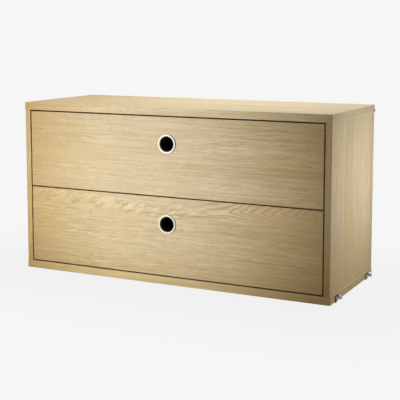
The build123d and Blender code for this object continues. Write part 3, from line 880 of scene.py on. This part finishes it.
hookShape = {
    "end": 0.390, "thick": 0.002, "foot": 0.030, "bend": 0.0006, "woodZ": 0.002, "archX": 0.395,
    "archZ": 0.012, "archR": 0.003, "wrap": 150, "lip": 0.006, "soft": 0.00035, "corner": 0.002,
    "footSteps": 4, "bendSteps": 5, "archSteps": 20, "lipSteps": 3, "cornerSteps": 5, "holeSteps": 32,
    "hole": [(-0.001, 0.0), (-0.001, 0.0049), (0.0, 0.0039), (0.002, 0.00208), (0.003, 0.00208),
             (0.003, 0.0)],   # height and radius, wide at the bottom for the screw's head
}


def hookLine(shape):
    # (point, outward normal) of the strap's face that lies on the wood, then round the rung's far side
    end, bend, woodZ = shape["end"], shape["bend"], shape["woodZ"]
    line = []
    for k in range(shape["footSteps"] + 1):
        x = end - shape["foot"] + k * (shape["foot"] - bend) / shape["footSteps"]
        line.append(((x, woodZ), (0, -1)))
    for k in range(1, shape["bendSteps"] + 1):
        a = math.radians(90 * k / shape["bendSteps"] - 90)
        line.append(((end - bend + bend * math.cos(a), woodZ + bend + bend * math.sin(a)),
                     (math.cos(a), math.sin(a))))
    line.append(((end, (woodZ + bend + shape["archZ"]) / 2), (1, 0)))
    outer = shape["archR"] + shape["thick"]
    turns = [(180 - shape["wrap"] * k / shape["archSteps"], 0.0) for k in range(shape["archSteps"] + 1)]
    turns += [(180 - shape["wrap"], shape["lip"] * k / shape["lipSteps"])
              for k in range(1, shape["lipSteps"] + 1)]
    for degrees, past in turns:   # round the arch, then straight past its end for the lip
        a = math.radians(degrees)
        line.append(((shape["archX"] + outer * math.cos(a) + past * math.sin(a),
                      shape["archZ"] + outer * math.sin(a) - past * math.cos(a)),
                     (-math.cos(a), -math.sin(a))))
    return line


def addHook(nodeName, side, shape):
    low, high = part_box(nodeName)
    w, t, corner = high.y - low.y, shape["thick"], shape["corner"]
    section = roundedProfile([(0, 0), (w, 0), (w, t), (0, t)], [shape["soft"]] * 4)   # (along Y, through)
    line = hookLine(shape)
    (freeX, freeZ), down = line[0]
    places = []
    for k in range(shape["cornerSteps"]):   # the foot's two free corners are rounded off
        a = math.radians(90 * k / shape["cornerSteps"])
        places.append(((freeX + corner * (1 - math.cos(a)), freeZ), down, corner * (1 - math.sin(a))))
    places += [(point, outward, 0.0) for point, outward in line[1:]]
    strap = bmesh.new()
    loops = [[strap.verts.new((side * (point[0] + outward[0] * through),
                               low.y + min(max(along, inset), w - inset),
                               point[1] + outward[1] * through)) for along, through in section]
             for point, outward, inset in places]
    for a, b in zip(loops, loops[1:]):
        bridge(strap, a, b)
    strap.faces.new(loops[0])
    strap.faces.new(loops[-1])
    bmesh.ops.remove_doubles(strap, verts=strap.verts, dist=weld)
    drill = bmesh.new()
    for x in screwPlaces["hookX"]:
        placed = Matrix.Translation((side * x, (low.y + high.y) / 2, 0))
        addSpindle(drill, shape["hole"], shape["holeSteps"], placed)
    finished = bmesh.new()
    finished.from_mesh(cutAway(makeMesh(strap, nodeName + " strap"), makeMesh(drill, nodeName + " drill")))
    addPiece(pieceName(nodeName), finished, zincStrap, "cabinet", [nodeName], smoothAngle=50)


for nodeName in [n for n in nodes if n.endswith("_hook")]:
    addHook(nodeName, -1 if "left" in nodeName else 1, hookShape)
print("hooks done")


# Locating pegs: a body in the bore and a thinner free end with a rounded tip

pegShape = {"core": 0.00001, "tip": 0.002, "proud": 0.003, "tipRound": 0.0008, "steps": 40}


def addPeg(nodeName, side, shape):
    low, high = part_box(nodeName)
    r, length = (high.z - low.z) / 2, high.x - low.x
    core, tip, shoulder = shape["core"], shape["tip"], length - shape["proud"]
    corners = [(0, core), (0, r), (shoulder, r), (shoulder, tip), (length, tip), (length, core)]
    start, turn = (low.x, alongX) if side > 0 else (high.x, againstX)
    placed = Matrix.Translation((start, (low.y + high.y) / 2, (low.z + high.z) / 2)) @ turn
    bm = bmesh.new()
    addLathe(bm, roundedProfile(corners, [0, 0, 0, 0, shape["tipRound"], 0]), shape["steps"], placed)
    addPiece("leftPeg" if side < 0 else "rightPeg", bm, pegSteel, "cabinet", [nodeName])


addPeg("left_locating_peg", -1, pegShape)
addPeg("right_locating_peg", 1, pegShape)
print("pegs done")


# Floor, backdrop colour and light

stage = {   # halves are half the cabinet's width and depth
    "shade": (0.9216, 0.9216, 0.9216, 1), "bounce": (0.40, 0.40, 0.40, 1), "halves": (0.39, 0.15),
    "shadowShare": 0.06, "fade": 0.45, "size": 14.0, "sky": (1.0, 0.98, 0.95, 1), "skyStrength": 0.06,
}


def seenRays(tree):   # 1 for rays that show the backdrop: straight on, in a gloss or through glass
    path = put(tree, "LightPath").outputs
    return maths(tree, "MAXIMUM", path["Is Camera Ray"],
                 maths(tree, "MAXIMUM", path["Is Glossy Ray"], path["Is Transmission Ray"]))


def addFloor(setup):
    bm = bmesh.new()
    bmesh.ops.create_grid(bm, x_segments=4, y_segments=4, size=setup["size"])
    mesh = bpy.data.meshes.new("floor")
    bm.to_mesh(mesh)
    bm.free()
    floor = addObject("floor", mesh)
    material = bpy.data.materials.new("floor")
    material.use_nodes = True
    tree = material.node_tree
    tree.nodes.clear()
    # to the camera the floor is the backdrop's own shade, with a faint shadow near the cabinet
    ground = axes(tree, put(tree, "TexCoord").outputs["Object"])
    squares = 0.0
    for way, half in zip(ground, setup["halves"]):
        gap = maths(tree, "MAXIMUM", minus(tree, maths(tree, "ABSOLUTE", way), half), 0.0)
        squares = timesPlus(tree, gap, gap, squares)
    away = maths(tree, "SQRT", squares)
    plain = ease(tree, away, 0.0, setup["fade"], 1 - setup["shadowShare"], 1.0)
    seen = seenRays(tree)
    matt = put(tree, "BsdfDiffuse", {"Color": setup["bounce"]}).outputs[0]
    glow = put(tree, "Emission", {"Color": setup["shade"], "Strength": 1.0}).outputs[0]
    mixed = put(tree, "MixShader", {0: times(tree, seen, plain), 1: matt, 2: glow}).outputs[0]
    put(tree, "OutputMaterial", {0: mixed})
    mesh.materials.append(material)


def addWorld(setup):
    world = bpy.data.worlds.new("studio")
    bpy.context.scene.world = world
    world.use_nodes = True
    tree = world.node_tree
    tree.nodes.clear()
    soft = put(tree, "Background", {"Color": setup["sky"], "Strength": setup["skyStrength"]}).outputs[0]
    shown = put(tree, "Background", {"Color": setup["shade"], "Strength": 1.0}).outputs[0]
    mixed = put(tree, "MixShader", {0: seenRays(tree), 1: soft, 2: shown}).outputs[0]
    put(tree, "OutputWorld", {0: mixed})


# The front is lit by far spots with soft cones, so that a drawer that is out isn't overexposed. They
# stand to the left, which gives the pulls their shadow, and below the top, which gets no glare.
frontSpot = (-1.20, -2.15, 0.29)
spotRadius = 0.11   # the shadows' edges are as soft as this
lamps = {   # a lamp with a reach is such a spot
    "keySpot": {"aim": (-0.10, -0.15, 0.28), "reach": 0.50, "power": 58.6, "colour": (0.93, 1.0, 0.42)},
    "leftSpot": {"aim": (-0.20, -0.15, 0.28), "reach": 0.55, "power": 90.8, "colour": (0.877, 0.92, 1.0)},
    "wideSpot": {"aim": (-0.10, -0.15, 0.28), "reach": 0.62, "power": 73.5, "colour": (1.0, 0.573, 0.03)},
    "lowSpot": {"aim": (-0.02, -0.15, 0.20), "reach": 0.40, "power": 131.0, "colour": (0.46, 0.656, 1.0)},
    "highSpot": {"aim": (0.0, -0.15, 0.40), "reach": 0.45, "power": 54.0, "colour": (0.21, 0.38, 1.0)},
    "topLamp": {"place": (0.10, 0.10, 1.00), "aim": (0.10, 0.0, 0.4), "size": (0.8, 0.5),
                "power": 6.5, "colour": (0.86, 0.955, 1.0)},
    "topLeftLamp": {"place": (-0.50, 0.20, 1.30), "aim": (-0.3, 0.0, 0.4), "size": (0.8, 0.8),
                    "power": 3.2, "colour": (1.0, 0.80, 0.52)},
    "sideLamp": {"place": (0.68, 0.045, 0.266), "aim": (0.39, 0.035, 0.266), "size": (0.22, 0.22),
                 "power": 1.0, "colour": (0.97, 1.0, 1.0)},
    "backLamp": {"place": (0.0, 0.95, 0.20), "aim": (0.0, 0.15, 0.2), "size": (1.0, 0.35),
                 "power": 6.0, "colour": (1.0, 0.99, 0.96)},
    "farEndLamp": {"place": (-1.05, 0.05, 0.20), "aim": (-0.39, 0.05, 0.2), "size": (0.4, 0.35),
                   "power": 3.0, "colour": (1.0, 0.99, 0.96)},
}


def addLamp(name, setup):
    data = bpy.data.lights.new(name, "SPOT" if "reach" in setup else "AREA")
    place = Vector(setup.get("place", frontSpot))
    aim = Vector(setup["aim"]) - place
    if "reach" in setup:   # the radius that the cone lights at its aim
        data.spot_size = 2 * math.atan(setup["reach"] / aim.length)
        data.spot_blend = 1.0
        data.shadow_soft_size = spotRadius
    else:
        data.shape = "RECTANGLE"
        data.size, data.size_y = setup["size"]
    data.energy = setup["power"]
    data.color = setup["colour"]
    lamp = addObject(name, data)
    lamp.location = place
    lamp.rotation_euler = aim.to_track_quat("-Z", "Y").to_euler()
    lamp.visible_camera = False


addFloor(stage)
addWorld(stage)
for lampName, lampSetup in lamps.items():
    addLamp(lampName, lampSetup)
print("stage and lamps done")
